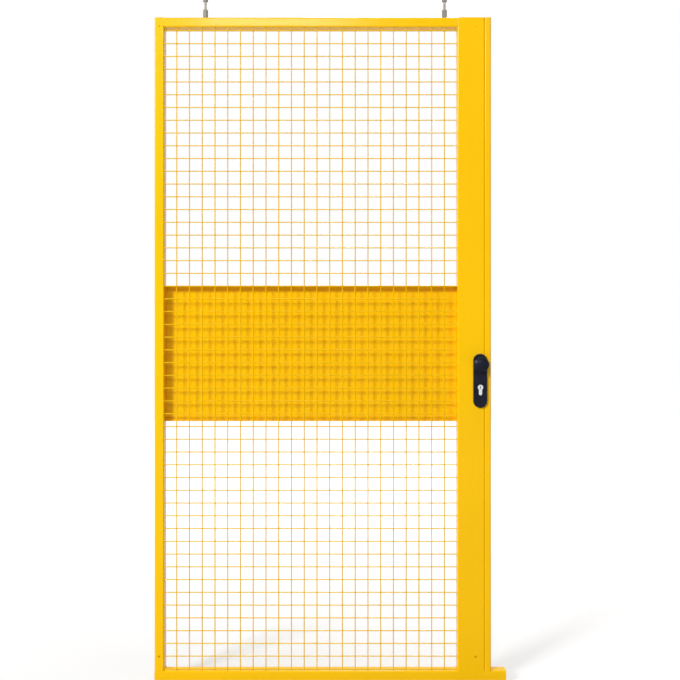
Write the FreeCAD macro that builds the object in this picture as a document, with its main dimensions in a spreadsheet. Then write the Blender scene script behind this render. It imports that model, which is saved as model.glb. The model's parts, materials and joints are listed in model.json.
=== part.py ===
"""A sliding mesh door: a tube-framed leaf hung from two trolleys in an overhead track.

Millimetres. +X is right and +Y is away from the person facing the door, +Z is up.
The origin is the middle of the back face of the middle track bracket, on the wall plane.
The leaf is drawn closed and slides towards -X.
"""
import FreeCAD, Part
import math
import os
import re
import Sketcher

DRIVING_SIZES = {
    # Place of the leaf: left edge, top edge and middle plane
    "leaf_left": -51,
    "leaf_top": -171,
    "leaf_plane": -60,
    # Frame of the leaf
    "leaf_width": 1054,
    "leaf_height": 2076,
    "tube_face": 30,
    "tube_depth": 40,
    "tube_wall": 2,
    "tube_round": 4,
    "wall_cut": 4,
    "lock_stile_face": 105,
    "edge_tube_face": 20,
    "nose_length": 47,
    "cap_plate": 3,
    # Drain holes near the ends of the stiles
    "drain_top_radius": 1.8,
    "drain_low_radius": 2.6,
    "drain_top_drop": 28,
    "drain_low_rise": 75,
    "drain_setback": 49,
    # Welded mesh: bars on edge, with half diagonal and distance between the two layers
    "mesh_pitch": 40,
    "mesh_columns": 22,
    "mesh_rows": 17,
    "mesh_setback": 5,
    "bar_half": 1.88,
    "layer_gap": 2.76,
    "first_column": 38.5,
    "first_row": 35,
    # Sheet panel across the middle
    "panel_low": 810,
    "panel_height": 425,
    "panel_sheet": 1.5,
    "panel_bend": 1,
    "panel_flange": 25,
    "panel_lip": 12,
    # Hanger bolts
    "hanger_inset": 157,
    "hanger_spacing": 753,
    "rod_radius": 4,
    "rod_below": 16,
    "rod_above": 91,
    "rod_play": 0.2,
    "rod_end_gap": 1,
    "nut_corner": 7.5,
    "nut_height": 6.5,
    "sleeve_height": 28,
    "upper_nut_height": 16,
    "washer_radius": 8,
    "washer_height": 1.6,
    # Overhead track
    "track_length": 2000,
    "track_width": 48,
    "track_height": 44,
    "track_wall": 3,
    "track_bend": 1,
    "track_slot": 16,
    "track_top": -50,
    # Trolleys
    "trolley_thick": 12,
    "trolley_half": 42,
    "trolley_low": 8,
    "trolley_high": 30,
    "neck_half": 18,
    "neck_drop": 6,
    "axle_offset": 26,
    "axle_radius": 4,
    "axle_play": 0.1,
    "wheel_radius": 15,
    "wheel_width": 10,
    "wheel_inner": 9,
    "rail_gap": 0.3,
    # Track end stops
    "stop_length": 30,
    "stop_width": 36,
    "stop_height": 32,
    "stop_right_x": 916,
    "stop_left_x": -901,
    "buffer_radius": 10,
    "buffer_length": 10,
    # Track brackets
    "bracket_spacing": 900,
    "bracket_width": 80,
    "bracket_plate": 6,
    "bracket_rise": 42,
    "bracket_bend": 8,
    "bracket_hole_radius": 5.5,
    "bracket_hole_offset": 25,
    "rib_plate": 5,
    "rib_reach": 56,
    "rib_height": 70,
    # Lock: backset from the closing edge, height of the knob above the leaf's lower edge
    "lock_backset": 35,
    "knob_height": 990,
    "plate_drop": 51.5,
    "plate_width": 43,
    "plate_height": 169,
    "plate_thick": 9,
    "plate_bevel": 2.5,
    "knob_neck": 10,
    "knob_flare": 8,
    "knob_head": 24,
    "knob_rim_back": 16,
    "knob_rim_front": 24,
    "knob_crown": 17,
    "knob_crown_reach": 27.2,
    "knob_reach": 28,
    "cylinder_drop": 72,
    "cylinder_radius": 8.5,
    "cylinder_tail": 5,
    "cylinder_tail_drop": 19.5,
    "cylinder_proud": 2,
    "cylinder_play": 0.15,
    "cylinder_room": 1,
    "plug_radius": 6.5,
    "plug_play": 0.05,
    "plug_depth": 30,
    "plug_end_gap": 1,
    "keyway_width": 2.6,
    "keyway_height": 8,
    "keyway_depth": 24,
    "case_thick": 14,
    "case_length": 56,
    "case_height": 165,
    "case_room": 2,
    "forend_width": 22,
    "forend_height": 235,
    "forend_plate": 2,
    "hook_slot_width": 8,
    "hook_slot_height": 56,
    "hook_slot_rise": 10,
    # A length that cuts right through any piece
    "right_through": 200,
}
HEX_SIDES = 6
FULL_TURN = 360
NEAR = 0.01

doc = FreeCAD.newDocument("SlidingMeshDoor")
sizes = doc.addObject("Spreadsheet::Sheet", "Sizes")
sub_parts = []

# Places that several sub-parts share, as formulas of the driving sizes
LEAF_FRONT = "leaf_plane - tube_depth / 2"
LEAF_BACK = "leaf_plane + tube_depth / 2"
LEAF_LOW = "leaf_top - leaf_height"
LEAF_RIGHT = "leaf_left + leaf_width"
OPEN_WIDTH = "leaf_width - tube_face - lock_stile_face"
LOCK_X = "leaf_left + leaf_width - lock_backset"
KNOB_Z = "leaf_top - leaf_height + knob_height"
TRACK_LOW = "track_top - track_height"
HANGERS = {
    "left": "leaf_left + hanger_inset",
    "right": "leaf_left + hanger_inset + hanger_spacing",
}


def fill_sheet():
    """Write the driving sizes, one alias to a row."""
    for row, (alias, size) in enumerate(DRIVING_SIZES.items(), start=1):
        sizes.set("A%d" % row, alias.replace("_", " "))
        sizes.set("B%d" % row, str(size))
        sizes.setAlias("B%d" % row, alias)
    doc.recompute()


def bound(formula):
    """Point each name of a formula at the sheet."""
    return re.sub(r"[a-z_]+", lambda name: "Sizes." + name.group(), str(formula))


def worth(formula):
    """The present value of a formula, to draw with."""
    return float(sizes.evalExpression(bound(formula)))


def bind(item, **formulas):
    """Bind properties of an object to formulas."""
    for name, formula in formulas.items():
        item.setExpression(name, bound(formula))


def place(item, x="0", y="0", z="0"):
    """Bind an object's place to three formulas."""
    for axis, formula in zip("xyz", (x, y, z)):
        item.setExpression("Placement.Base." + axis, bound(formula))


def new_body(label, x="0", y="0", z="0"):
    """Start a sub-part made of sketches and features."""
    body = doc.addObject("PartDesign::Body", label)
    body.Label = label
    place(body, x, y, z)
    sub_parts.append(body)
    return body


def origin_item(body, role):
    """One of a body's own planes or axes."""
    return [item for item in body.Origin.OriginFeatures if item.Role == role][0]


def new_sketch(body, plane, rise="0"):
    """Lay a sketch on one of the body's planes, raised along its normal."""
    sketch = body.newObject("Sketcher::SketchObject", body.Label + "_sketch")
    sketch.AttachmentSupport = [(origin_item(body, plane), "")]
    sketch.MapMode = "FlatFace"
    sketch.setExpression("AttachmentOffset.Base.z", bound(rise))
    return sketch


def pin(sketch, geometry, end, x, y):
    """Hold one point of a curve at a place given by two formulas."""
    for kind, formula, axis in (("DistanceX", x, -2), ("DistanceY", y, -1)):
        distance = worth(formula)
        if distance == 0:
            sketch.addConstraint(Sketcher.Constraint("PointOnObject", geometry, end, axis))
        else:
            index = sketch.addConstraint(Sketcher.Constraint(kind, -1, 1, geometry, end, distance))
            sketch.setExpression("Constraints[%d]" % index, bound(formula))


def point(x, y):
    """A sketch point from two formulas."""
    return FreeCAD.Vector(worth(x), worth(y), 0)


def draw_outline(sketch, corners):
    """Draw a closed outline of straight edges through corners given as formulas."""
    first = sketch.GeometryCount
    count = len(corners)
    for index, corner in enumerate(corners):
        following = corners[(index + 1) % count]
        sketch.addGeometry(Part.LineSegment(point(*corner), point(*following)), False)
    for index, corner in enumerate(corners):
        following = first + (index + 1) % count
        sketch.addConstraint(Sketcher.Constraint("Coincident", first + index, 2, following, 1))
        pin(sketch, first + index, 1, *corner)


def draw_rectangle(sketch, left, low, width, height):
    """Draw a rectangle from its lower left corner."""
    right = "(%s) + (%s)" % (left, width)
    high = "(%s) + (%s)" % (low, height)
    draw_outline(sketch, [(left, low), (right, low), (right, high), (left, high)])


def draw_centred(sketch, width, height):
    """Draw a rectangle about the sketch's origin."""
    draw_rectangle(sketch, "-(%s) / 2" % width, "-(%s) / 2" % height, width, height)


def draw_circle(sketch, x, y, radius):
    """Draw a circle about a place given by two formulas."""
    circle = Part.Circle(point(x, y), FreeCAD.Vector(0, 0, 1), worth(radius))
    index = sketch.addGeometry(circle, False)
    pin(sketch, index, 3, x, y)
    hold_radius(sketch, index, radius)


def hold_radius(sketch, index, radius):
    """Bind an arc's radius to a formula."""
    held = sketch.addConstraint(Sketcher.Constraint("Radius", index, worth(radius)))
    sketch.setExpression("Constraints[%d]" % held, bound(radius))


def draw_tube(sketch, middle, width, height, inset):
    """Draw a tube's outline with round corners, moved in by an inset, about a place on the first axis."""
    radius = "tube_round - (%s)" % inset
    first = sketch.GeometryCount
    places = []
    for side, level in (("-", "-"), ("", "-"), ("", ""), ("-", "")):
        x = "(%s) + (%s((%s) / 2 - tube_round))" % (middle, side, width)
        y = "%s((%s) / 2 - tube_round)" % (level, height)
        places.append((x, y))
    curve = worth(radius)
    circles = [Part.Circle(point(x, y), FreeCAD.Vector(0, 0, 1), curve) for x, y in places]
    for number, circle in enumerate(circles):
        start = math.pi + number * math.pi / 2
        end = start + math.pi / 2
        sketch.addGeometry(Part.ArcOfCircle(circle, start, end), False)
        following = circles[(number + 1) % len(circles)]
        sketch.addGeometry(Part.LineSegment(circle.value(end), following.value(end)), False)
    for number, (x, y) in enumerate(places):
        arc = first + 2 * number
        following = first + 2 * ((number + 1) % len(places))
        pin(sketch, arc, 3, x, y)
        hold_radius(sketch, arc, radius)
        sketch.addConstraint(Sketcher.Constraint("Tangent", arc, 2, arc + 1, 1))
        sketch.addConstraint(Sketcher.Constraint("Tangent", arc + 1, 2, following, 1))


def draw_upright(sketch, top, top_radius, low, low_radius, neck):
    """Draw a round head and a round foot joined by two upright edges, and hold both centres."""
    head = worth(top_radius)
    foot = worth(low_radius)
    crown = FreeCAD.Vector(0, worth(top) + head, 0)
    toe = FreeCAD.Vector(0, worth(low) - foot, 0)
    left_neck = FreeCAD.Vector(-foot, neck, 0)
    right_neck = FreeCAD.Vector(foot, neck, 0)
    left_foot = FreeCAD.Vector(-foot, worth(low), 0)
    right_foot = FreeCAD.Vector(foot, worth(low), 0)
    sketch.addGeometry(Part.Arc(right_neck, crown, left_neck), False)
    sketch.addGeometry(Part.LineSegment(left_neck, left_foot), False)
    sketch.addGeometry(Part.Arc(left_foot, toe, right_foot), False)
    sketch.addGeometry(Part.LineSegment(right_foot, right_neck), False)
    pin(sketch, 0, 3, "0", top)
    pin(sketch, 2, 3, "0", low)
    hold_radius(sketch, 0, top_radius)
    sketch.addConstraint(Sketcher.Constraint("Tangent", 1, 2, 2, 1))
    sketch.addConstraint(Sketcher.Constraint("Tangent", 2, 2, 3, 1))


def draw_keyhole(sketch, top, top_radius, low, low_radius):
    """Draw a round head over a narrower upright tail with a round end."""
    head = worth(top_radius)
    foot = worth(low_radius)
    draw_upright(sketch, top, top_radius, low, low_radius, worth(top) - (head ** 2 - foot ** 2) ** 0.5)
    hold_radius(sketch, 2, low_radius)
    sketch.addConstraint(Sketcher.Constraint("Coincident", 0, 2, 1, 1))
    sketch.addConstraint(Sketcher.Constraint("Coincident", 3, 2, 0, 1))
    sketch.addConstraint(Sketcher.Constraint("Vertical", 1))
    sketch.addConstraint(Sketcher.Constraint("Vertical", 3))


def draw_long_round(sketch, width, height):
    """Draw a long outline with two round ends about the sketch's origin."""
    radius = "(%s) / 2" % width
    reach = "((%s) - (%s)) / 2" % (height, width)
    draw_upright(sketch, reach, radius, "-" + reach, radius, worth(reach))
    sketch.addConstraint(Sketcher.Constraint("Equal", 0, 2))
    sketch.addConstraint(Sketcher.Constraint("Tangent", 0, 2, 1, 1))
    sketch.addConstraint(Sketcher.Constraint("Tangent", 3, 2, 0, 1))


def add_pad(body, sketch, length, symmetric=False, reverse=False):
    """Raise a sketch into a solid."""
    pad = body.newObject("PartDesign::Pad", body.Label + "_pad")
    pad.Profile = sketch
    bind(pad, Length=length)
    pad.SideType = "Symmetric" if symmetric else "One side"
    pad.Reversed = reverse
    return pad


def cut_pocket(body, sketch, length, symmetric=False, reverse=False):
    """Sink a sketch into the body, and make sure that it cuts."""
    doc.recompute()
    before = body.Shape.Volume
    pocket = body.newObject("PartDesign::Pocket", body.Label + "_pocket")
    pocket.Profile = sketch
    bind(pocket, Length=length)
    pocket.SideType = "Symmetric" if symmetric else "One side"
    pocket.Reversed = reverse
    doc.recompute()
    if body.Shape.Volume >= before:
        raise RuntimeError("a pocket cuts nothing in " + body.Label)
    return pocket


def repeat(body, feature, axis, spacing, count):
    """Repeat a feature along one of the body's axes."""
    pattern = body.newObject("PartDesign::LinearPattern", body.Label + "_row")
    pattern.Originals = [feature]
    pattern.Direction = (origin_item(body, axis), [""])
    bind(pattern, Length="(%s) * ((%s) - 1)" % (spacing, count), Occurrences=count)
    body.Tip = pattern
    return pattern


def treat_edges(body, kind, chosen):
    """Start a fillet or a chamfer on the edges of a body that a test picks out."""
    doc.recompute()
    base = body.Tip
    names = ["Edge%d" % (n + 1) for n, edge in enumerate(base.Shape.Edges) if chosen(edge.BoundBox)]
    treatment = body.newObject("PartDesign::" + kind, body.Label + "_edges")
    treatment.Base = (base, names)
    return treatment


def round_edges(body, radius, chosen):
    """Round the edges of a body that a test picks out."""
    bind(treat_edges(body, "Fillet", chosen), Radius=radius)


def bevel_edges(body, size, chosen):
    """Bevel the edges of a body that a test picks out."""
    bind(treat_edges(body, "Chamfer", chosen), Size=size)


def lies_at(box, axis, level):
    """Whether an edge lies in the plane where one coordinate has a given local value."""
    return abs(getattr(box, axis + "Min") - level) < NEAR and abs(getattr(box, axis + "Max") - level) < NEAR


def flat_at(axis, formula):
    """A test for edges in one plane."""
    level = worth(formula)
    return lambda box: lies_at(box, axis, level)


def running(places):
    """A test for edges that run along X at any of some places of the body's section."""
    spots = [(worth(y), worth(z)) for y, z in places]
    return lambda box: any(lies_at(box, "Y", y) and lies_at(box, "Z", z) for y, z in spots)


def make_track():
    """The C-shaped track: its lips carry the wheels and leave a slot for the hangers."""
    body = new_body("overhead_track", "-track_length / 2", "leaf_plane", TRACK_LOW)
    sketch = new_sketch(body, "YZ_Plane")
    side = "track_width / 2"
    inside = "track_width / 2 - track_wall"
    lip = "track_slot / 2"
    roof = "track_height - track_wall"
    right_half = [(lip, "0"), (side, "0"), (side, "track_height")]
    left_half = [("-" + side, "track_height"), ("-" + side, "0"), ("-" + lip, "0")]
    left_inside = [("-" + lip, "track_wall"), ("-(%s)" % inside, "track_wall"), ("-(%s)" % inside, roof)]
    right_inside = [(inside, roof), (inside, "track_wall"), (lip, "track_wall")]
    draw_outline(sketch, right_half + left_half + left_inside + right_inside)
    add_pad(body, sketch, "track_length")
    round_edges(body, "track_bend", running(left_inside[1:] + right_inside[:2]))
    round_edges(body, "track_bend + track_wall", running(right_half[1:] + left_half[:2]))


def make_bracket(label, x):
    """A folded wall bracket with a rib; its lower leg is welded on the track's roof."""
    body = new_body(label, x)
    sketch = new_sketch(body, "YZ_Plane")
    reach = "leaf_plane - track_width / 2"
    draw_outline(sketch, [
        ("0", "track_top"),
        ("0", "bracket_rise"),
        ("-bracket_plate", "bracket_rise"),
        ("-bracket_plate", "track_top + bracket_plate"),
        (reach, "track_top + bracket_plate"),
        (reach, "track_top"),
    ])
    add_pad(body, sketch, "bracket_width", symmetric=True)
    round_edges(body, "bracket_bend", running([("0", "track_top")]))
    rib = new_sketch(body, "YZ_Plane")
    draw_outline(rib, [
        ("-bracket_plate", "track_top + bracket_plate"),
        ("-bracket_plate", "track_top + rib_height"),
        ("-bracket_plate - rib_reach", "track_top + bracket_plate"),
    ])
    add_pad(body, rib, "rib_plate", symmetric=True)
    holes = new_sketch(body, "XZ_Plane")
    for side in ("", "-"):
        draw_circle(holes, side + "bracket_hole_offset", "0", "bracket_hole_radius")
    cut_pocket(body, holes, "right_through", symmetric=True)


def make_end_stop(name, inner_face, outwards):
    """A stop block clamped on the track's lips, with a rubber buffer facing the trolley."""
    block = new_body("end_stop_" + name, inner_face, "leaf_plane", TRACK_LOW)
    sketch = new_sketch(block, "YZ_Plane")
    draw_rectangle(sketch, "-stop_width / 2", "track_wall", "stop_width", "stop_height")
    add_pad(block, sketch, "stop_length", reverse=outwards < 0)
    buffer = new_body("stop_buffer_" + name, inner_face, "leaf_plane", TRACK_LOW)
    face = new_sketch(buffer, "YZ_Plane")
    draw_circle(face, "0", "track_wall + stop_height / 2", "buffer_radius")
    add_pad(buffer, face, "buffer_length", reverse=outwards > 0)


def drill_drains(body, x):
    """Drill a stile's front wall near both ends."""
    drains = new_sketch(body, "XZ_Plane", "tube_depth / 2")
    draw_circle(drains, x, "leaf_height - tube_face - drain_top_drop", "drain_top_radius")
    draw_circle(drains, x, "drain_low_rise - tube_face", "drain_low_radius")
    cut_pocket(body, drains, "wall_cut")


def make_stile(label, left, tubes):
    """A stile of upright tubes side by side, closed at the top; each has its middle and its face."""
    body = new_body(label, left, "leaf_plane", LEAF_LOW + " + tube_face")
    for middle, face in tubes:
        outer = new_sketch(body, "XY_Plane")
        draw_tube(outer, middle, face, "tube_depth", "0")
        add_pad(body, outer, "leaf_height - tube_face")
    inner = new_sketch(body, "XY_Plane")
    for middle, face in tubes:
        draw_tube(inner, middle, face, "tube_depth", "tube_wall")
    cut_pocket(body, inner, "leaf_height - tube_face - tube_wall", reverse=True)
    return body


def make_left_stile():
    """The plain stile: one tube standing on the bottom rail."""
    middle = "tube_face / 2"
    body = make_stile("left_stile", "leaf_left", [(middle, "tube_face")])
    drill_drains(body, middle)


def make_lock_stile():
    """The wide closing stile: a box tube with a narrow edge tube welded along it, cut out for the lock."""
    box_face = "lock_stile_face - edge_tube_face"
    edge_middle = "lock_stile_face - edge_tube_face / 2"
    tubes = [("(%s) / 2" % box_face, box_face), (edge_middle, "edge_tube_face")]
    body = make_stile("lock_stile", LEAF_RIGHT + " - lock_stile_face", tubes)
    drill_drains(body, "lock_stile_face - drain_setback")
    middle = "knob_height - plate_drop - tube_face"
    cuts = [
        ("forend_width", "forend_height", "wall_cut"),
        ("case_thick + case_room", "case_height + case_room", "edge_tube_face + wall_cut"),
    ]
    for width, height, depth in cuts:
        slot = new_sketch(body, "YZ_Plane", "lock_stile_face")
        draw_rectangle(slot, "-(%s) / 2" % width, "%s - (%s) / 2" % (middle, height), width, height)
        cut_pocket(body, slot, depth)
    cut_cylinder_room(body, "lock_stile_face - lock_backset", "knob_height - cylinder_drop - tube_face")


def cut_cylinder_room(body, x, z):
    """Cut a piece right through about the lock cylinder, with room all round it."""
    room = new_sketch(body, "XZ_Plane")
    side = "cylinder_radius + cylinder_room"
    fall = "cylinder_tail_drop + cylinder_tail + cylinder_room"
    left = "%s - (%s)" % (x, side)
    low = "%s - (%s)" % (z, fall)
    draw_rectangle(room, left, low, "2 * (%s)" % side, "%s + %s" % (side, fall))
    cut_pocket(body, room, "right_through", symmetric=True)


def make_rail(label, x, z, length):
    """A level tube along the leaf."""
    body = new_body(label, x, "leaf_plane", z)
    sketch = new_sketch(body, "YZ_Plane")
    for inset in ("0", "tube_wall"):
        draw_tube(sketch, "0", "tube_depth", "tube_face", inset)
    add_pad(body, sketch, length)
    return body


def make_top_rail():
    """The top rail: a tube butted between the stiles, drilled for the hanger bolts."""
    body = make_rail("top_rail", "leaf_left + tube_face", "leaf_top - tube_face / 2", OPEN_WIDTH)
    holes = new_sketch(body, "XY_Plane", "tube_face / 2")
    for inset in ("hanger_inset - tube_face", "hanger_inset + hanger_spacing - tube_face"):
        draw_circle(holes, inset, "0", "rod_radius + rod_play")
    cut_pocket(body, holes, "wall_cut")


def make_bottom_rail():
    """The bottom rail: a tube under both stiles, with a nose past the closing edge, and its cap plates."""
    z = LEAF_LOW + " + tube_face / 2"
    make_rail("bottom_rail", "leaf_left + cap_plate", z, "leaf_width + nose_length - 2 * cap_plate")
    ends = {"left": "leaf_left", "right": LEAF_RIGHT + " + nose_length - cap_plate"}
    for name, x in ends.items():
        cap = new_body("rail_cap_" + name, x, "leaf_plane", z)
        sketch = new_sketch(cap, "YZ_Plane")
        draw_tube(sketch, "0", "tube_depth", "tube_face", "0")
        add_pad(cap, sketch, "cap_plate")


def draw_bar(sketch, x, y):
    """Draw the section of a mesh bar on edge."""
    draw_outline(sketch, [
        (x, "(%s) - bar_half" % y),
        ("(%s) + bar_half" % x, y),
        (x, "(%s) + bar_half" % y),
        ("(%s) - bar_half" % x, y),
    ])


def make_mesh(label, low, height, first_row):
    """One third of the welded mesh: cross bars in front, upright bars behind, fused at each crossing."""
    front = LEAF_FRONT + " + mesh_setback"
    body = new_body(label, "leaf_left + tube_face", front, "%s + %s" % (LEAF_LOW, low))
    cross = new_sketch(body, "YZ_Plane")
    draw_bar(cross, "0", first_row)
    cross_bar = add_pad(body, cross, OPEN_WIDTH)
    upright = new_sketch(body, "XY_Plane")
    draw_bar(upright, "first_column", "layer_gap")
    upright_bar = add_pad(body, upright, height)
    repeat(body, upright_bar, "X_Axis", "mesh_pitch", "mesh_columns")
    repeat(body, cross_bar, "Z_Axis", "mesh_pitch", "mesh_rows")


def make_panel():
    """The folded sheet panel across the leaf's middle, its edges on the flats of the stiles."""
    back = LEAF_BACK + " - tube_round"
    body = new_body("infill_panel", "leaf_left + tube_face", back, LEAF_LOW + " + panel_low")
    sketch = new_sketch(body, "YZ_Plane")
    draw_outline(sketch, [
        ("0", "0"),
        ("0", "panel_height"),
        ("-panel_flange", "panel_height"),
        ("-panel_flange", "panel_height - panel_sheet"),
        ("-panel_sheet", "panel_height - panel_sheet"),
        ("-panel_sheet", "panel_sheet"),
        ("-panel_lip", "panel_sheet"),
        ("-panel_lip", "0"),
    ])
    add_pad(body, sketch, OPEN_WIDTH)
    inside = [("-panel_sheet", "panel_sheet"), ("-panel_sheet", "panel_height - panel_sheet")]
    round_edges(body, "panel_bend", running(inside))
    round_edges(body, "panel_bend + panel_sheet", running([("0", "0"), ("0", "panel_height")]))


def make_hanger_bolt(name, x):
    """A hanger bolt: a nut inside the rail, a washer and a sleeve nut on it, a nut under the trolley."""
    label = "hanger_bolt_" + name
    bolt = doc.addObject("Part::MultiFuse", label)
    rounds = [
        ("_rod", "rod_radius", "leaf_top - rod_below", "rod_below + rod_above"),
        ("_washer", "washer_radius", "leaf_top", "washer_height"),
    ]
    nuts = [
        ("_inner_nut", "leaf_top - tube_wall - nut_height", "nut_height"),
        ("_sleeve_nut", "leaf_top + washer_height", "sleeve_height"),
        ("_upper_nut", TRACK_LOW + " - neck_drop - upper_nut_height", "upper_nut_height"),
    ]
    pieces = []
    for kind, radius, level, height in rounds:
        piece = doc.addObject("Part::Cylinder", label + kind)
        bind(piece, Radius=radius, Height=height)
        place(piece, x, "leaf_plane", level)
        pieces.append(piece)
    for kind, level, height in nuts:
        piece = doc.addObject("Part::Prism", label + kind)
        piece.Polygon = HEX_SIDES
        bind(piece, Circumradius="nut_corner", Height=height)
        place(piece, x, "leaf_plane", level)
        pieces.append(piece)
    bolt.Shapes = pieces
    bolt.Label = label
    sub_parts.append(bolt)


def make_trolley(name, x):
    """A trolley block with a neck through the slot, its two axles and its four wheels."""
    block = new_body("trolley_" + name, x, "leaf_plane", TRACK_LOW)
    sketch = new_sketch(block, "XZ_Plane")
    draw_outline(sketch, [
        ("-trolley_half", "trolley_high"),
        ("-trolley_half", "trolley_low"),
        ("-neck_half", "trolley_low"),
        ("-neck_half", "-neck_drop"),
        ("neck_half", "-neck_drop"),
        ("neck_half", "trolley_low"),
        ("trolley_half", "trolley_low"),
        ("trolley_half", "trolley_high"),
    ])
    add_pad(block, sketch, "trolley_thick", symmetric=True)
    axle_z = "track_wall + rail_gap + wheel_radius"
    bores = new_sketch(block, "XZ_Plane")
    for side in ("", "-"):
        draw_circle(bores, side + "axle_offset", axle_z, "axle_radius + axle_play")
    cut_pocket(block, bores, "right_through", symmetric=True)
    thread = new_sketch(block, "XY_Plane", "-neck_drop")
    draw_circle(thread, "0", "0", "rod_radius + rod_play")
    depth = "leaf_top + rod_above - (%s) + neck_drop + rod_end_gap" % TRACK_LOW
    cut_pocket(block, thread, depth, reverse=True)
    axles = new_body("trolley_axles_" + name, x, "leaf_plane", TRACK_LOW)
    rounds = new_sketch(axles, "XZ_Plane")
    for side in ("", "-"):
        draw_circle(rounds, side + "axle_offset", axle_z, "axle_radius")
    add_pad(axles, rounds, "2 * wheel_inner", symmetric=True)
    wheels = new_body("trolley_wheels_" + name, x, "leaf_plane", TRACK_LOW)
    for face, reverse in (("wheel_inner", False), ("-wheel_inner", True)):
        discs = new_sketch(wheels, "XZ_Plane", face)
        for side in ("", "-"):
            draw_circle(discs, side + "axle_offset", axle_z, "wheel_radius")
        add_pad(wheels, discs, "wheel_width", reverse=reverse)


def draw_cylinder(sketch, play):
    """Draw the lock cylinder's section about the axis of its plug."""
    draw_keyhole(sketch, "0", "cylinder_radius + " + play, "-cylinder_tail_drop", "cylinder_tail + " + play)


def make_lock_plate(label, y, forwards):
    """A round-ended lock plate with its outer edge bevelled, pierced for the cylinder."""
    body = new_body(label, LOCK_X, y, KNOB_Z + " - plate_drop")
    sketch = new_sketch(body, "XZ_Plane")
    draw_long_round(sketch, "plate_width", "plate_height")
    add_pad(body, sketch, "plate_thick", reverse=not forwards)
    sign = "-" if forwards else ""
    bevel_edges(body, "plate_bevel", flat_at("Y", "%splate_thick" % sign))
    hole = new_sketch(body, "XZ_Plane")
    lift = "plate_drop - cylinder_drop"
    draw_keyhole(hole, lift, "cylinder_radius + cylinder_play",
                 lift + " - cylinder_tail_drop", "cylinder_tail + cylinder_play")
    cut_pocket(body, hole, "right_through", symmetric=True)


def make_knob():
    """The fixed round pull knob, turned about its own axis, on the front lock plate."""
    body = new_body("pull_knob", LOCK_X, LEAF_FRONT + " - plate_thick", KNOB_Z)
    sketch = new_sketch(body, "XY_Plane")
    draw_outline(sketch, [
        ("0", "0"),
        ("knob_neck", "0"),
        ("knob_neck", "-knob_flare"),
        ("knob_head", "-knob_rim_back"),
        ("knob_head", "-knob_rim_front"),
        ("knob_crown", "-knob_crown_reach"),
        ("0", "-knob_reach"),
    ])
    turned = body.newObject("PartDesign::Revolution", "knob_turned")
    turned.Profile = sketch
    turned.ReferenceAxis = (sketch, ["V_Axis"])
    turned.Angle = FULL_TURN


def make_lock_works():
    """The lock case inside the stile, its forend on the closing edge and the cylinder through both."""
    middle = KNOB_Z + " - plate_drop"
    inner = LEAF_RIGHT + " - forend_plate"
    case = new_body("lock_case", inner, "leaf_plane", middle)
    section = new_sketch(case, "YZ_Plane")
    draw_centred(section, "case_thick", "case_height")
    add_pad(case, section, "case_length", reverse=True)
    cut_cylinder_room(case, "forend_plate - lock_backset", "plate_drop - cylinder_drop")
    forend = new_body("lock_forend", inner, "leaf_plane", middle)
    plate = new_sketch(forend, "YZ_Plane")
    draw_centred(plate, "forend_width", "forend_height")
    draw_rectangle(plate, "-hook_slot_width / 2", "hook_slot_rise", "hook_slot_width", "hook_slot_height")
    add_pad(forend, plate, "forend_plate")


def make_cylinder():
    """The lock cylinder right through the stile, and the key plug in its front end."""
    axis_z = KNOB_Z + " - cylinder_drop"
    front = LEAF_FRONT + " - plate_thick - cylinder_proud"
    housing = new_body("cylinder_housing", LOCK_X, front, axis_z)
    section = new_sketch(housing, "XZ_Plane")
    draw_cylinder(section, "0")
    add_pad(housing, section, "tube_depth + 2 * (plate_thick + cylinder_proud)", reverse=True)
    bore = new_sketch(housing, "XZ_Plane")
    draw_circle(bore, "0", "0", "plug_radius")
    cut_pocket(housing, bore, "plug_depth")
    plug = new_body("key_plug", LOCK_X, front, axis_z)
    round_section = new_sketch(plug, "XZ_Plane")
    draw_circle(round_section, "0", "0", "plug_radius - plug_play")
    add_pad(plug, round_section, "plug_depth - plug_end_gap", reverse=True)
    keyway = new_sketch(plug, "XZ_Plane")
    draw_rectangle(keyway, "-keyway_width / 2", "-keyway_height / 2", "keyway_width", "keyway_height")
    cut_pocket(plug, keyway, "keyway_depth")


def make_door():
    """Build every sub-part in its place."""
    make_track()
    make_bracket("track_bracket_left", "-bracket_spacing")
    make_bracket("track_bracket_middle", "0")
    make_bracket("track_bracket_right", "bracket_spacing")
    make_end_stop("left", "stop_left_x", -1)
    make_end_stop("right", "stop_right_x", 1)
    make_left_stile()
    make_lock_stile()
    make_top_rail()
    make_bottom_rail()
    third = "mesh_pitch * mesh_rows"
    half = "mesh_pitch / 2"
    low_cut = "first_row + %s - %s" % (third, half)
    high_cut = "%s + %s" % (low_cut, third)
    make_mesh("mesh_lower", "tube_face", low_cut + " - tube_face", "first_row - tube_face")
    make_mesh("mesh_middle", low_cut, third, half)
    make_mesh("mesh_upper", high_cut, "leaf_height - tube_face - (%s)" % high_cut, half)
    make_panel()
    for name, x in HANGERS.items():
        make_hanger_bolt(name, x)
        make_trolley(name, x)
    make_lock_plate("lock_plate_front", LEAF_FRONT, True)
    make_lock_plate("lock_plate_back", LEAF_BACK, False)
    make_knob()
    make_lock_works()
    make_cylinder()


def write_sub_parts():
    """Check every object, then write one file for each sub-part."""
    doc.recompute()
    for item in doc.Objects:
        if "Invalid" in item.State or "Error" in item.State:
            raise RuntimeError("%s did not build" % item.Label)
    for item in sub_parts:
        if item.Shape.isNull() or not item.Shape.isValid():
            raise RuntimeError("%s has no sound shape" % item.Label)
    os.makedirs("parts", exist_ok=True)
    for item in sub_parts:
        item.Shape.exportStep("parts/%s.step" % item.Label)


fill_sheet()
make_door()
write_sub_parts()
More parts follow.
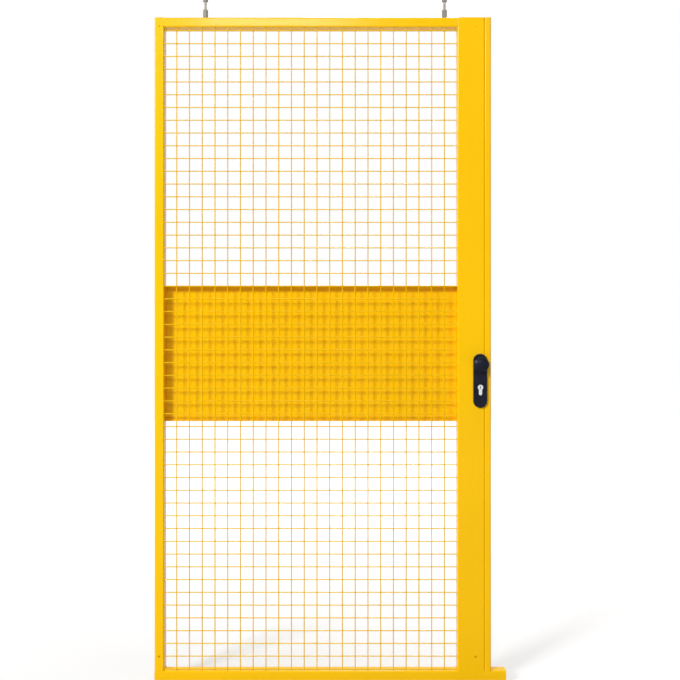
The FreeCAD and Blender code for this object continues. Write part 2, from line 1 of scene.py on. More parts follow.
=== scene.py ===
"""Looks of a sliding mesh door: round welded wires, threads, welds, finishes, studio and camera.

Metres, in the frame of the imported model: +X right, +Y away from the viewer, +Z up.
"""
import json
import math

import bmesh
import bpy
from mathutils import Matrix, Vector


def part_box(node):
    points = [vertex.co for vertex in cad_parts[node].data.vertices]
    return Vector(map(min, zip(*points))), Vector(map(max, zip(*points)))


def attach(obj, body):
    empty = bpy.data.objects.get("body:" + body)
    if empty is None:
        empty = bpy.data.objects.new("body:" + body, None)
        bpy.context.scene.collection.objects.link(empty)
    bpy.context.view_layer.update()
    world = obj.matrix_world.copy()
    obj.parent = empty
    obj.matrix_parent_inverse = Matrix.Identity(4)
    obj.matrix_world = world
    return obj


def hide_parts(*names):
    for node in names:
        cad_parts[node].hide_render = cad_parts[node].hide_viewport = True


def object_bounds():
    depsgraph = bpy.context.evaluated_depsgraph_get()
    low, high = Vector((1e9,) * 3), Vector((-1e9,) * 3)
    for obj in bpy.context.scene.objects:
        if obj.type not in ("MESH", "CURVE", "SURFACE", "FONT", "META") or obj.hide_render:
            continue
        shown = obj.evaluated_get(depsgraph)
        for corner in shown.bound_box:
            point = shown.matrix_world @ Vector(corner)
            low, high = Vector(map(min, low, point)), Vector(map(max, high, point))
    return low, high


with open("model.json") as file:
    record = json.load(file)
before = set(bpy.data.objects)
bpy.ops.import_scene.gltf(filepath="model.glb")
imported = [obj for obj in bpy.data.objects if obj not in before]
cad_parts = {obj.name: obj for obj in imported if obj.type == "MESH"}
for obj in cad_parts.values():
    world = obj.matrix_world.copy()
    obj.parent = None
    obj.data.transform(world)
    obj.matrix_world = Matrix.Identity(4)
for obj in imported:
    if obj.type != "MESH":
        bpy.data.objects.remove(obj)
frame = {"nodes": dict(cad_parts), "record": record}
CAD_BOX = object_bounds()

X_AXIS = Vector((1, 0, 0))
Y_AXIS = Vector((0, 1, 0))
Z_AXIS = Vector((0, 0, 1))

# Directions this close to +X or -X are measured from another axis
NEAR_X = 0.7

# Edges that turn by more than this many degrees stay sharp
SHARP_DEGREES = 40
KNOB_SHARP_DEGREES = 60

# Wires of the welded mesh, and half the depth of the plain bars that they replace
WIRE_RADIUS = 0.0017
WIRE_SIDES = 12
BAR_HALF = 0.00188

# Grid of the mesh: first column from the mesh's left edge, first row from the leaf's foot
MESH_PITCH = 0.040
FIRST_COLUMN = 0.0385
FIRST_ROW = 0.035
MESH_COLUMNS = 22
MESH_ROWS = 51

# Welds of the mesh, as radius and distance along an axis: spots at the crossings and dabs at the ends
SPOT_HALF = 0.95 * WIRE_RADIUS
SPOT_RADIUS = 1.05 * SPOT_HALF
SPOT_RIM = 0.35 * SPOT_HALF
SPOT_SIDES = 8
SPOT = [(0, -SPOT_HALF), (SPOT_RADIUS, -SPOT_RIM), (SPOT_RADIUS, SPOT_RIM), (0, SPOT_HALF)]
DAB = [(0.0026, -0.0005), (0.0026, 0.0004), (0.0021, 0.0013), (0.0014, 0.0026)]

# Hanger bolts: metric coarse thread of size 8, washer, sleeve nut on the rail and nut under the trolley
ROD_RADIUS = 0.004
THREAD_PITCH = 0.00125
THREAD_DEPTH = 0.00077
THREAD_SIDES = 20
NUT_FLAT = 0.0065
NUT_FACE = 0.95 * NUT_FLAT
NUT_CHAMFER_DEGREES = 30
NUT_SIDES = 24
NUT_HEIGHT = 0.0065
SLEEVE_HEIGHT = 0.028
UPPER_HEIGHT = 0.016
RAIL_WALL = 0.002
WASHER_RADIUS = 0.008
WASHER_HEIGHT = 0.0016
WASHER_SIDES = 32

# Weld beads
BEAD_RADIUS = 0.0022
BEAD_PITCH = 0.0024
BEAD_RIPPLE = 0.06
BEAD_SIDES = 10
BEAD_LEAST_RINGS = 4
# Beads lie this far inside a tube's face and across its joint, or this far out of a corner
GROOVE_IN = 0.0021
GROOVE_ACROSS = 0.0014
FILLET_OUT = 0.0010
TUBE_ROUND = 0.004
TACK_LENGTH = 0.030
TACKS = 5

# Pull knob: an elliptic waist, a round rim and a domed crown, with the arcs' ends in degrees
WAIST_RADIUS = 0.0100
WAIST_HEIGHT = 0.0045
WAIST_HOLLOW = 0.0120
WAIST_RISE = 0.0113
WAIST_END = 75
RIM_HEIGHT = 0.0191
RIM_ROUND = 0.0027
RIM_START = -70
RIM_END = 60
KNOB_STEPS = 8
KNOB_SIDES = 96

# Socket screws of the lock
SCREW_RADIUS = 0.0045
SCREW_HEIGHT = 0.0011
SCREW_INSET = 0.013
SCREW_SIDES = 24
# Rings of a screw: shares of its radius and height, and whether the ring is six-sided
SCREW_RINGS = [(1.0, -0.5, False), (1.0, 0.5, False), (0.9, 0.92, False), (0.6, 1.0, False),
               (0.5, 1.0, True), (0.5, 0.1, True)]

# Colours of the finishes, deep and light
FRAME_PAINT = ((0.86, 0.486, 0.0004), (0.91, 0.516, 0.0006))
# The wires' paint is the frame's yellow made darker: painted shade that stands in for the shading of thin
# round wires
SHADED_WIRE_PAINT = ((0.74, 0.450, 0.002), (0.79, 0.475, 0.003))
SPANGLE = ((0.29, 0.303, 0.315), (0.40, 0.413, 0.425))
BRIGHT_ZINC = ((0.48, 0.48, 0.47), (0.62, 0.62, 0.60))
DULL_STEEL = ((0.185, 0.180, 0.158), (0.265, 0.258, 0.226))
BLACK_NYLON = ((0.0072, 0.0074, 0.0115), (0.0108, 0.0114, 0.0185))
SATIN_NICKEL = ((0.62, 0.65, 0.64), (0.72, 0.75, 0.74))
WHITE_NYLON = ((0.58, 0.57, 0.52), (0.74, 0.73, 0.68))
BLACK_RUBBER = ((0.012, 0.012, 0.012), (0.035, 0.034, 0.032))
PAINT_FLECK = (0.70, 0.33, 0.002)
ZINC_RUN = (0.28, 0.293, 0.305)
NYLON_SHEEN = (0.55, 0.65, 1.0, 1.0)
WHITE = (1.0, 1.0, 1.0, 1.0)
OPAQUE = 1.0

# Parts of a value's range: all of it, and the middle, where most of a noise lies
WHOLE = (0.0, 1.0)
MIDDLE = (0.3, 0.7)

# Camera, set back from the leaf's front face
CAMERA_X = 0.5299
CAMERA_Z = -1.181
CAMERA_Y = -2.870
CAMERA_LENS = 47.2

# Studio
FLOOR_GAP = 0.010
FLOOR_HALF = 9.0
FLOOR_COLOUR = (0.5, 0.5, 0.5, 1.0)
# Share of the floor's glow that reaches other surfaces, so the glowing floor also lights the door
FLOOR_FILL = 0.3
FILL_LEVEL = 0.10
# Near and far distances from the door, and the floor's own glow there: painted light that rises away from
# the door, so the floor stays white far off where the lamps fall short
FLOOR_REACH = (0.3, 8.0)
FLOOR_GLOW = (0.33, 0.98)
# The surroundings are white as the camera sees them, straight and in reflections
SEEN_BY = ("Is Camera Ray", "Is Glossy Ray", "Is Transmission Ray")
SEEN_WHITE = 1.0
# Lights: place, width, height and power
SOFT_BOXES = {
    "key_box": (Vector((-5.4, -7.2, 2.8)), 2.2, 2.2, 880),
    "front_box": (Vector((-0.26, -7.8, 2.48)), 1.7, 0.2, 110),
    "top_box": (Vector((0.44, -0.3, 6.0)), 2.5, 2.5, 210),
    "back_box": (Vector((0.9, 4.5, 2.8)), 1.5, 1.5, 280),
}
LIGHT_TARGET = Vector((0.44, -0.06, -1.2))


class Shape:
    """Points and faces of one piece, gathered from closed skins."""

    def __init__(self):
        self.points = []
        self.faces = []

    def skin(self, rings):
        """Join rings of points into a closed skin; a ring of one point is a tip."""
        starts = []
        for ring in rings:
            starts.append(len(self.points))
            self.points.extend(ring)
        for number in range(len(rings) - 1):
            self.join(starts[number], len(rings[number]), starts[number + 1], len(rings[number + 1]))
        for start, ring in ((starts[0], rings[0]), (starts[-1], rings[-1])):
            if len(ring) > 2:
                self.faces.append(list(range(start, start + len(ring))))

    def join(self, near, near_count, far, far_count):
        """Faces between two neighbouring rings."""
        count = max(near_count, far_count)
        for index in range(count):
            after = (index + 1) % count
            corners = [near + index % near_count, near + after % near_count,
                       far + after % far_count, far + index % far_count]
            self.faces.append(list(dict.fromkeys(corners)))

    def turn(self, centre, axis, profile, sides):
        """A turned form: profile holds radius and distance along the axis."""
        across, other = square_to(axis)
        aims = [across * math.cos(angle) + other * math.sin(angle) for angle in turns(sides)]
        rings = []
        for radius, along in profile:
            middle = centre + axis * along
            if radius == 0:
                rings.append([middle])
            else:
                rings.append([middle + radius * aim for aim in aims])
        self.skin(rings)

    def rod(self, start, end, radius, sides):
        """A straight round bar."""
        length = (end - start).length
        self.turn(start, (end - start).normalized(), [(radius, 0), (radius, length)], sides)

    def bead(self, start, end):
        """A rippled weld bead with rounded ends."""
        length = (end - start).length
        rings = max(BEAD_LEAST_RINGS, round(2 * length / BEAD_PITCH))
        profile = [(0, 0)]
        for number in range(rings + 1):
            swell = 1 + BEAD_RIPPLE * (-1) ** number
            along = BEAD_RADIUS / 2 + (length - BEAD_RADIUS) * number / rings
            profile.append((BEAD_RADIUS * swell, along))
        profile.append((0, length))
        self.turn(start, (end - start).normalized(), profile, BEAD_SIDES)


def turns(count):
    """Angles of equal steps round a circle."""
    return [2 * math.pi * index / count for index in range(count)]


def square_to(axis):
    """Two unit vectors at right angles to an axis and to each other."""
    across = axis.cross(X_AXIS if abs(axis.x) < NEAR_X else Y_AXIS).normalized()
    return across, axis.cross(across)


def hexagon_reach(flat, angle):
    """Distance from a hexagon's middle to its edge at an angle, given the distance to its flats."""
    return flat / math.cos((angle % (math.pi / 3)) - math.pi / 6)


def add_piece(name, shape, body, slot, replaced=(), sharp_degrees=SHARP_DEGREES, finish=None):
    """Make a mesh object that rides on a body and takes its slot's finish or another one."""
    mesh = bpy.data.meshes.new(name)
    mesh.from_pydata(shape.points, [], shape.faces)
    draft = bmesh.new()
    draft.from_mesh(mesh)
    bmesh.ops.recalc_face_normals(draft, faces=draft.faces)
    for face in draft.faces:
        face.smooth = True
    draft.to_mesh(mesh)
    draft.free()
    mesh.set_sharp_from_angle(angle=math.radians(sharp_degrees))
    mesh.materials.append(FINISHES[finish or slot])
    piece = bpy.data.objects.new(name, mesh)
    bpy.context.scene.collection.objects.link(piece)
    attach(piece, body)
    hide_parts(*replaced)


class Finish:
    """A procedural material with short ways of adding nodes."""

    def __init__(self, name, **constants):
        self.material = bpy.data.materials.new(name)
        self.material.use_nodes = True
        self.tree = self.material.node_tree
        self.shader = self.tree.nodes["Principled BSDF"]
        for socket, value in constants.items():
            self.shader.inputs[socket.replace("_", " ")].default_value = value
        self.place = self.tree.nodes.new("ShaderNodeTexCoord").outputs["Object"]

    def node(self, kind, values=(), links=(), **settings):
        """Add a node with settings, plain values and links by input name or number."""
        node = self.tree.nodes.new("ShaderNode" + kind)
        for setting, value in settings.items():
            setattr(node, setting, value)
        for socket, value in dict(values).items():
            node.inputs[socket].default_value = value
        for socket, source in dict(links).items():
            self.tree.links.new(source, node.inputs[socket])
        return node

    def stretched(self, x=1.0, y=1.0, z=1.0):
        """Object coordinates stretched along the axes."""
        return self.node("Mapping", {"Scale": (x, y, z)}, {"Vector": self.place}).outputs["Vector"]

    def noise(self, per_metre, detail=2.0, vector=None):
        """Cloudy noise between 0 and 1, with about so many clouds to a metre."""
        values = {"Scale": per_metre, "Detail": detail}
        return self.node("TexNoise", values, {"Vector": vector or self.place}).outputs["Fac"]

    def cells(self, per_metre):
        """A chance value between 0 and 1 for each cell, with about so many cells to a metre."""
        colour = self.node("TexVoronoi", {"Scale": per_metre}, {"Vector": self.place}).outputs["Color"]
        return self.node("SeparateColor", links={"Color": colour}).outputs["Red"]

    def span(self, source, part=MIDDLE, onto=WHOLE):
        """Stretch part of a value's range onto another range."""
        values = {"From Min": part[0], "From Max": part[1], "To Min": onto[0], "To Max": onto[1]}
        return self.node("MapRange", values, {"Value": source}, clamp=True).outputs["Result"]

    def times(self, first, second):
        """The product of two values."""
        return self.node("Math", links={0: first, 1: second}, operation="MULTIPLY").outputs["Value"]

    def ramp(self, source, colours, part=MIDDLE):
        """From a deep to a light colour along part of a value's range."""
        node = self.node("ValToRGB", links={"Fac": source})
        for point, position, colour in zip(node.color_ramp.elements, part, colours):
            point.position = position
            point.color = (*colour, OPAQUE)
        return node.outputs["Color"]

    def blend(self, share, first, second_colour):
        """Mix a colour towards a plain one by a share."""
        values = {"B": (*second_colour, OPAQUE)}
        return self.node("Mix", values, {"Factor": share, "A": first}, data_type="RGBA").outputs["Result"]

    def bump(self, height, strength, distance, before=None):
        """Raise the surface by a height, on top of an earlier bump."""
        links = {"Height": height}
        if before:
            links["Normal"] = before
        return self.node("Bump", {"Strength": strength, "Distance": distance}, links).outputs["Normal"]

    def send(self, **sources):
        """Link sources to the shader's sockets."""
        for socket, source in sources.items():
            self.tree.links.new(source, self.shader.inputs[socket.replace("_", " ")])
        return self.material


def yellow_paint(name, colours):
    """Semi-gloss powder coat: faint mottling, orange peel and small scuffs."""
    paint = Finish(name, Specular_IOR_Level=0.12)
    clouds = paint.noise(per_metre=3.0, detail=3.0)
    colour = paint.ramp(clouds, colours, part=(0.25, 0.75))
    flecks = paint.span(paint.noise(per_metre=900.0, detail=1.0), part=(0.66, 0.74))
    share = paint.times(flecks, paint.span(clouds, part=(0.3, 0.8), onto=(0.0, 0.35)))
    colour = paint.blend(share, colour, PAINT_FLECK)
    streaks = paint.noise(per_metre=40.0, detail=6.0, vector=paint.stretched(z=0.15))
    scuffs = paint.span(streaks, part=(0.62, 0.70))
    roughness = paint.span(paint.noise(per_metre=25.0, detail=4.0), onto=(0.16, 0.19))
    peel = paint.bump(paint.noise(per_metre=320.0), strength=0.10, distance=0.0004)
    peel = paint.bump(scuffs, strength=0.05, distance=0.0002, before=peel)
    return paint.send(Base_Color=colour, Roughness=roughness, Normal=peel)


def galvanised_steel():
    """Hot-dip zinc with its crystal spangle, dull runs and fine grain."""
    zinc = Finish("zinc_spangle", Metallic=0.3, Specular_IOR_Level=0.3)
    spangle = zinc.cells(per_metre=150.0)
    colour = zinc.ramp(spangle, SPANGLE, part=WHOLE)
    streaks = zinc.noise(per_metre=9.0, detail=5.0, vector=zinc.stretched(z=3.0))
    runs = zinc.span(streaks, part=(0.45, 0.70), onto=(0.0, 0.55))
    colour = zinc.blend(runs, colour, ZINC_RUN)
    roughness = zinc.span(spangle, part=WHOLE, onto=(0.50, 0.64))
    grain = zinc.bump(zinc.noise(per_metre=260.0, detail=4.0), strength=0.12, distance=0.0004)
    return zinc.send(Base_Color=colour, Roughness=roughness, Normal=grain)


def zinc_steel():
    """Bright zinc plate with fine drawing marks."""
    plate = Finish("zinc_bright", Metallic=0.5)
    marks = plate.noise(per_metre=600.0, detail=3.0, vector=plate.stretched(z=0.2))
    colour = plate.ramp(marks, BRIGHT_ZINC)
    roughness = plate.span(plate.noise(per_metre=90.0, detail=3.0), onto=(0.24, 0.40))
    grain = plate.bump(marks, strength=0.08, distance=0.0002)
    return plate.send(Base_Color=colour, Roughness=roughness, Normal=grain)


def nut_steel():
    """Dull plain steel of the nuts."""
    steel = Finish("steel_dull", Metallic=0.2, Specular_IOR_Level=0.3)
    stains = steel.noise(per_metre=180.0, detail=4.0)
    colour = steel.ramp(stains, DULL_STEEL)
    roughness = steel.span(steel.noise(per_metre=400.0, detail=3.0), onto=(0.42, 0.56))
    pits = steel.bump(stains, strength=0.1, distance=0.0003)
    return steel.send(Base_Color=colour, Roughness=roughness, Normal=pits)


def black_nylon():
    """Satin moulded nylon, a little blue in the light."""
    nylon = Finish("nylon_black", Specular_IOR_Level=0.14, Specular_Tint=NYLON_SHEEN)
    colour = nylon.ramp(nylon.noise(per_metre=60.0, detail=3.0), BLACK_NYLON)
    roughness = nylon.span(nylon.noise(per_metre=350.0, detail=3.0), onto=(0.26, 0.36))
    grain = nylon.bump(nylon.noise(per_metre=1400.0), strength=0.10, distance=0.0002)
    return nylon.send(Base_Color=colour, Roughness=roughness, Normal=grain)


def nickel_plate():
    """Satin nickel with turning marks."""
    nickel = Finish("nickel_satin", Metallic=0.25)
    marks = nickel.noise(per_metre=1500.0, detail=3.0, vector=nickel.stretched(y=0.1))
    colour = nickel.ramp(marks, SATIN_NICKEL)
    roughness = nickel.span(nickel.noise(per_metre=300.0), onto=(0.16, 0.28))
    grain = nickel.bump(marks, strength=0.06, distance=0.0001)
    return nickel.send(Base_Color=colour, Roughness=roughness, Normal=grain)


def white_nylon():
    """Turned nylon of the wheels, a little grey where it runs."""
    nylon = Finish("nylon_white", Specular_IOR_Level=0.4)
    clouds = nylon.noise(per_metre=150.0, detail=4.0)
    colour = nylon.ramp(clouds, WHITE_NYLON)
    roughness = nylon.span(clouds, onto=(0.38, 0.52))
    grain = nylon.bump(nylon.noise(per_metre=1200.0), strength=0.1, distance=0.0002)
    return nylon.send(Base_Color=colour, Roughness=roughness, Normal=grain)


def black_rubber():
    """Matt rubber with a dusty bloom."""
    rubber = Finish("rubber_black", Specular_IOR_Level=0.3)
    bloom = rubber.noise(per_metre=200.0, detail=4.0)
    colour = rubber.ramp(bloom, BLACK_RUBBER, part=(0.35, 0.75))
    roughness = rubber.span(bloom, onto=(0.62, 0.80))
    grain = rubber.bump(rubber.noise(per_metre=700.0), strength=0.2, distance=0.0003)
    return rubber.send(Base_Color=colour, Roughness=roughness, Normal=grain)


FINISHES = {
    "yellow_paint": yellow_paint("paint_yellow", FRAME_PAINT),
    # Darker copy of the frame's yellow for the wires, painted shade
    "shaded_wire_paint": yellow_paint("paint_shaded_wire", SHADED_WIRE_PAINT),
    "galvanised_steel": galvanised_steel(),
    "zinc_steel": zinc_steel(),
    "nut_steel": nut_steel(),
    "black_nylon": black_nylon(),
    "nickel_plate": nickel_plate(),
    "white_nylon": white_nylon(),
    "black_rubber": black_rubber(),
}


def dress_nodes():
    """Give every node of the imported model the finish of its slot."""
    for part in frame["record"]["subparts"]:
        materials = frame["nodes"][part["node"]].data.materials
        materials.clear()
        materials.append(FINISHES[part["material_slot"]])


def wire_mesh(node):
    """Round wires welded at each crossing, in place of one third of the mesh."""
    low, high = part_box(node)
    leaf_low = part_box("bottom_rail")[0].z
    front = low.y + BAR_HALF
    behind = high.y - BAR_HALF
    middle = (front + behind) / 2
    columns = [low.x + FIRST_COLUMN + MESH_PITCH * index for index in range(MESH_COLUMNS)]
    levels = [leaf_low + FIRST_ROW + MESH_PITCH * index for index in range(MESH_ROWS)]
    rows = [level for level in levels if low.z < level < high.z]
    shape = Shape()
    for x in columns:
        shape.rod(Vector((x, behind, low.z)), Vector((x, behind, high.z)), WIRE_RADIUS, WIRE_SIDES)
    for z in rows:
        shape.rod(Vector((low.x, front, z)), Vector((high.x, front, z)), WIRE_RADIUS, WIRE_SIDES)
    for x in columns:
        for z in rows:
            shape.turn(Vector((x, middle, z)), Y_AXIS, SPOT, SPOT_SIDES)
    for z in rows:
        shape.turn(Vector((low.x, front, z)), X_AXIS, DAB, WIRE_SIDES)
        shape.turn(Vector((high.x, front, z)), -X_AXIS, DAB, WIRE_SIDES)
    for x in columns:
        if node == "mesh_upper":
            shape.turn(Vector((x, behind, high.z)), -Z_AXIS, DAB, WIRE_SIDES)
        if node == "mesh_lower":
            shape.turn(Vector((x, behind, low.z)), Z_AXIS, DAB, WIRE_SIDES)
    # The wires take the darker wire paint: painted shade over the same yellow as the frame
    add_piece(node.replace("mesh", "wires"), shape, "leaf", "yellow_paint", [node], finish="shaded_wire_paint")


def nut(shape, foot, height):
    """A hexagon nut with chamfered corners, standing on its foot."""
    slope = math.tan(math.radians(NUT_CHAMFER_DEGREES))
    low_ring, high_ring, low_edge, high_edge = [], [], [], []
    for angle in turns(NUT_SIDES):
        reach = hexagon_reach(NUT_FLAT, angle)
        aim = Vector((math.cos(angle), math.sin(angle), 0))
        drop = (reach - NUT_FACE) * slope
        low_ring.append(foot + aim * NUT_FACE)
        low_edge.append(foot + aim * reach + Z_AXIS * drop)
        high_edge.append(foot + aim * reach + Z_AXIS * (height - drop))
        high_ring.append(foot + aim * NUT_FACE + Z_AXIS * height)
    shape.skin([low_ring, low_edge, high_edge, high_ring])


def threaded_rod(shape, foot, length):
    """A rod with a real helical thread, closed at both ends."""
    steps = int(length / THREAD_PITCH) * THREAD_SIDES
    first = len(shape.points)
    for step in range(steps + 1):
        angle = 2 * math.pi * step / THREAD_SIDES
        aim = Vector((math.cos(angle), math.sin(angle), 0))
        rise = THREAD_PITCH * step / THREAD_SIDES
        shape.points.append(foot + aim * (ROD_RADIUS - THREAD_DEPTH) + Z_AXIS * rise)
        shape.points.append(foot + aim * ROD_RADIUS + Z_AXIS * (rise + THREAD_PITCH / 2))
    for step in range(steps):
        root = first + 2 * step
        shape.faces.append([root, root + 2, root + 3, root + 1])
        above = root + 2 * THREAD_SIDES
        if step + THREAD_SIDES < steps:
            shape.faces.append([root + 1, root + 3, above + 2, above])
    low_loop = [first + 2 * step for step in range(THREAD_SIDES + 1)] + [first + 1]
    shape.faces.append(low_loop)
    last = first + 2 * steps
    high_loop = [last + 1 - 2 * step for step in range(THREAD_SIDES + 1)] + [last]
    shape.faces.append(high_loop)


def hanger_bolt(node):
    """A threaded rod with its washer and nuts, in place of a plain hanger bolt."""
    low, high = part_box(node)
    middle = (low + high) / 2
    rail_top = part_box("top_rail")[1].z
    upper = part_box(node.replace("hanger_bolt", "trolley"))[0].z
    thread = Shape()
    threaded_rod(thread, Vector((middle.x, middle.y, low.z)), high.z - low.z)
    washer = [(ROD_RADIUS, 0), (WASHER_RADIUS, 0),
              (WASHER_RADIUS, WASHER_HEIGHT), (ROD_RADIUS, WASHER_HEIGHT)]
    thread.turn(Vector((middle.x, middle.y, rail_top)), Z_AXIS, washer, WASHER_SIDES)
    nuts = Shape()
    heights = {
        rail_top - RAIL_WALL - NUT_HEIGHT: NUT_HEIGHT,
        rail_top + WASHER_HEIGHT: SLEEVE_HEIGHT,
        upper - UPPER_HEIGHT: UPPER_HEIGHT,
    }
    for z, height in heights.items():
        nut(nuts, Vector((middle.x, middle.y, z)), height)
    add_piece(node.replace("hanger_bolt", "hanger_thread"), thread, "leaf", "zinc_steel", [node])
    add_piece(node.replace("hanger_bolt", "hanger_nuts"), nuts, "leaf", "zinc_steel", finish="nut_steel")


def frame_welds():
    """Beads that fill the joints of the frame's tubes."""
    top_low, top_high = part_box("top_rail")
    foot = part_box("bottom_rail")[1].z
    shape = Shape()
    depths = (top_low.y + GROOVE_IN, top_high.y - GROOVE_IN)
    flat = (top_low.y + TUBE_ROUND, top_high.y - TUBE_ROUND)
    for x, side in ((top_low.x, -1), (top_high.x, 1)):
        for y in depths:
            groove = Vector((x + side * GROOVE_ACROSS, y, 0))
            shape.bead(groove + Z_AXIS * (top_low.z + TUBE_ROUND), groove + Z_AXIS * top_high.z)
        for z, rise in ((top_low.z, -FILLET_OUT), (foot, FILLET_OUT)):
            corner = Vector((x - side * FILLET_OUT, 0, z + rise))
            shape.bead(corner + Y_AXIS * flat[0], corner + Y_AXIS * flat[1])
    for stile in ("left_stile", "lock_stile"):
        low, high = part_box(stile)
        for y in depths:
            groove = Vector((0, y, foot - GROOVE_ACROSS))
            shape.bead(groove + X_AXIS * (low.x + TUBE_ROUND), groove + X_AXIS * (high.x - TUBE_ROUND))
    corner = Vector((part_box("lock_stile")[1].x + FILLET_OUT, 0, foot + FILLET_OUT))
    shape.bead(corner + Y_AXIS * flat[0], corner + Y_AXIS * flat[1])
    add_piece("frame_welds", shape, "leaf", "yellow_paint")


def panel_tacks():
    """Short beads that hold the panel's back to the stiles."""
    low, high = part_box("infill_panel")
    shape = Shape()
    for x in (low.x + FILLET_OUT, high.x - FILLET_OUT):
        for number in range(TACKS):
            z = low.z + (high.z - low.z - TACK_LENGTH) * (number + 0.5) / TACKS
            tack = Vector((x, high.y, z))
            shape.bead(tack, tack + Z_AXIS * TACK_LENGTH)
    add_piece("panel_tacks", shape, "leaf", "yellow_paint")


def bracket_welds():
    """Beads between the brackets and the track's roof."""
    track_low, track_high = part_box("overhead_track")
    flat = (track_low.y + TUBE_ROUND, track_high.y - TUBE_ROUND)
    shape = Shape()
    for side in ("left", "middle", "right"):
        low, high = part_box("track_bracket_" + side)
        for x in (low.x - FILLET_OUT, high.x + FILLET_OUT):
            corner = Vector((x, 0, track_high.z + FILLET_OUT))
            shape.bead(corner + Y_AXIS * flat[0], corner + Y_AXIS * flat[1])
    add_piece("bracket_welds", shape, "track", "galvanised_steel")


def arc(start, end):
    """Angles of the knob's steps from one direction to another, given in degrees."""
    return [math.radians(start + (end - start) * step / KNOB_STEPS) for step in range(KNOB_STEPS + 1)]


def knob_profile(radius, height):
    """Radius and distance from the lock plate along the knob's outline."""
    profile = []
    for angle in arc(-math.degrees(math.asin(WAIST_HEIGHT / WAIST_RISE)), WAIST_END):
        hollow = WAIST_HOLLOW * (1 - math.cos(angle))
        profile.append((WAIST_RADIUS + hollow, WAIST_HEIGHT + WAIST_RISE * math.sin(angle)))
    for angle in arc(RIM_START, RIM_END):
        inset = RIM_ROUND * (1 - math.cos(angle))
        profile.append((radius - inset, RIM_HEIGHT + RIM_ROUND * math.sin(angle)))
    shoulder_radius, shoulder = profile[-1]
    for step in range(KNOB_STEPS):
        share = 1 - (step + 1) / KNOB_STEPS
        profile.append((shoulder_radius * share, height - (height - shoulder) * share ** 2))
    return profile


def smooth_knob():
    """The moulded pull knob, turned with a soft rim and crown."""
    low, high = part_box("pull_knob")
    middle = (low + high) / 2
    profile = knob_profile((high.x - low.x) / 2, high.y - low.y)
    shape = Shape()
    shape.turn(Vector((middle.x, high.y, middle.z)), -Y_AXIS, profile, KNOB_SIDES)
    add_piece("knob_moulding", shape, "leaf", "black_nylon", ["pull_knob"], KNOB_SHARP_DEGREES)


def socket_screw(shape, seat, axis):
    """A low screw head with a hexagon socket."""
    across, other = square_to(axis)
    rings = []
    for share, rise, six_sided in SCREW_RINGS:
        ring = []
        for angle in turns(SCREW_SIDES):
            reach = share * SCREW_RADIUS
            if six_sided:
                reach = hexagon_reach(reach * math.cos(math.pi / 6), angle)
            aim = across * math.cos(angle) + other * math.sin(angle)
            ring.append(seat + aim * reach + axis * rise * SCREW_HEIGHT)
        rings.append(ring)
    shape.skin(rings)


def lock_screws():
    """Screws of the forend and of the back plate."""
    shape = Shape()
    for node, axis in (("lock_forend", X_AXIS), ("lock_plate_back", Y_AXIS)):
        low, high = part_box(node)
        middle = (low + high) / 2
        face = middle + axis * (high - low).dot(axis) / 2
        for z in (low.z + SCREW_INSET, high.z - SCREW_INSET):
            socket_screw(shape, Vector((face.x, face.y, z)), axis)
    add_piece("lock_screws", shape, "leaf", "zinc_steel")


def seen_level(tree, otherwise):
    """White for what the camera sees, straight or mirrored, and another level for the rest."""
    rays = tree.nodes.new("ShaderNodeLightPath").outputs
    seen = rays[SEEN_BY[0]]
    for kind in SEEN_BY[1:]:
        either = tree.nodes.new("ShaderNodeMath")
        either.operation = "MAXIMUM"
        tree.links.new(seen, either.inputs[0])
        tree.links.new(rays[kind], either.inputs[1])
        seen = either.outputs["Value"]
    level = tree.nodes.new("ShaderNodeMapRange")
    level.inputs["To Min"].default_value = otherwise
    level.inputs["To Max"].default_value = SEEN_WHITE
    tree.links.new(seen, level.inputs["Value"])
    return level.outputs["Result"]


def floor_white():
    """A white floor that glows though it is no lamp: its glow is painted light that rises away from the
    door, keeps the shadow near the door and also lights the door a little.
    """
    floor = Finish("floor_white", Base_Color=FLOOR_COLOUR, Roughness=0.9, Specular_IOR_Level=0.0,
                   Emission_Color=WHITE)
    low, high = CAD_BOX
    middle = (low + high) / 2
    door = (middle.x, middle.y, low.z)
    away = floor.node("VectorMath", {1: door}, {0: floor.place}, operation="DISTANCE").outputs["Value"]
    # Painted light: the floor's glow grows with the distance from the door
    glow = floor.span(away, part=FLOOR_REACH, onto=FLOOR_GLOW)
    return floor.send(Emission_Strength=floor.times(glow, seen_level(floor.tree, FLOOR_FILL)))


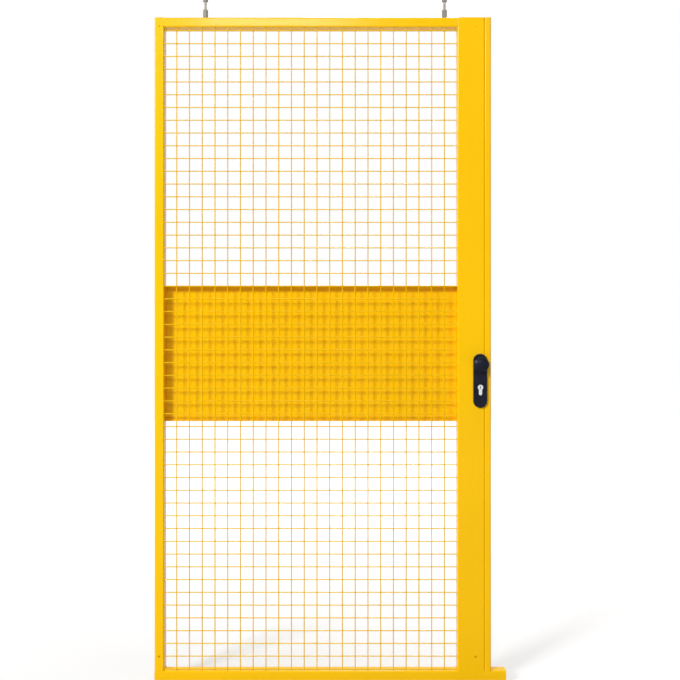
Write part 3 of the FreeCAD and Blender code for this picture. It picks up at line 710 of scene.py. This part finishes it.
def lay_floor():
    """The floor, a little under the door."""
    z = CAD_BOX[0].z - FLOOR_GAP
    corners = [(-FLOOR_HALF, -FLOOR_HALF, z), (FLOOR_HALF, -FLOOR_HALF, z),
               (FLOOR_HALF, FLOOR_HALF, z), (-FLOOR_HALF, FLOOR_HALF, z)]
    floor_mesh = bpy.data.meshes.new("floor")
    floor_mesh.from_pydata(corners, [], [[0, 1, 2, 3]])
    floor_mesh.materials.append(floor_white())
    floor = bpy.data.objects.new("floor", floor_mesh)
    bpy.context.scene.collection.objects.link(floor)


def light_world():
    """Even fill light from all round, seen as white."""
    world = bpy.data.worlds.new("studio")
    world.use_nodes = True
    bpy.context.scene.world = world
    tree = world.node_tree
    background = tree.nodes["Background"]
    background.inputs["Color"].default_value = WHITE
    tree.links.new(seen_level(tree, FILL_LEVEL), background.inputs["Strength"])


def hang_lights():
    """Plain soft boxes that face the middle of the leaf."""
    for name, (place, width, height, watts) in SOFT_BOXES.items():
        box = bpy.data.lights.new(name, "AREA")
        box.shape = "RECTANGLE"
        box.size = width
        box.size_y = height
        box.energy = watts
        lamp = bpy.data.objects.new(name, box)
        lamp.location = place
        lamp.rotation_euler = (LIGHT_TARGET - place).to_track_quat("-Z", "Y").to_euler()
        bpy.context.scene.collection.objects.link(lamp)


def photo_camera():
    """The camera in front of the leaf, level and square to it."""
    data = bpy.data.cameras.new("camera")
    data.lens = CAMERA_LENS
    camera = bpy.data.objects.new("camera", data)
    camera.location = (CAMERA_X, CAMERA_Y, CAMERA_Z)
    camera.rotation_euler = (math.pi / 2, 0, 0)
    bpy.context.scene.collection.objects.link(camera)
    bpy.context.scene.camera = camera


bpy.context.scene.view_settings.view_transform = "Standard"
photo_camera()
lay_floor()
light_world()
hang_lights()
dress_nodes()
for third in ("mesh_upper", "mesh_middle", "mesh_lower"):
    wire_mesh(third)
for hanger in ("hanger_bolt_left", "hanger_bolt_right"):
    hanger_bolt(hanger)
frame_welds()
panel_tacks()
bracket_welds()
smooth_knob()
lock_screws()
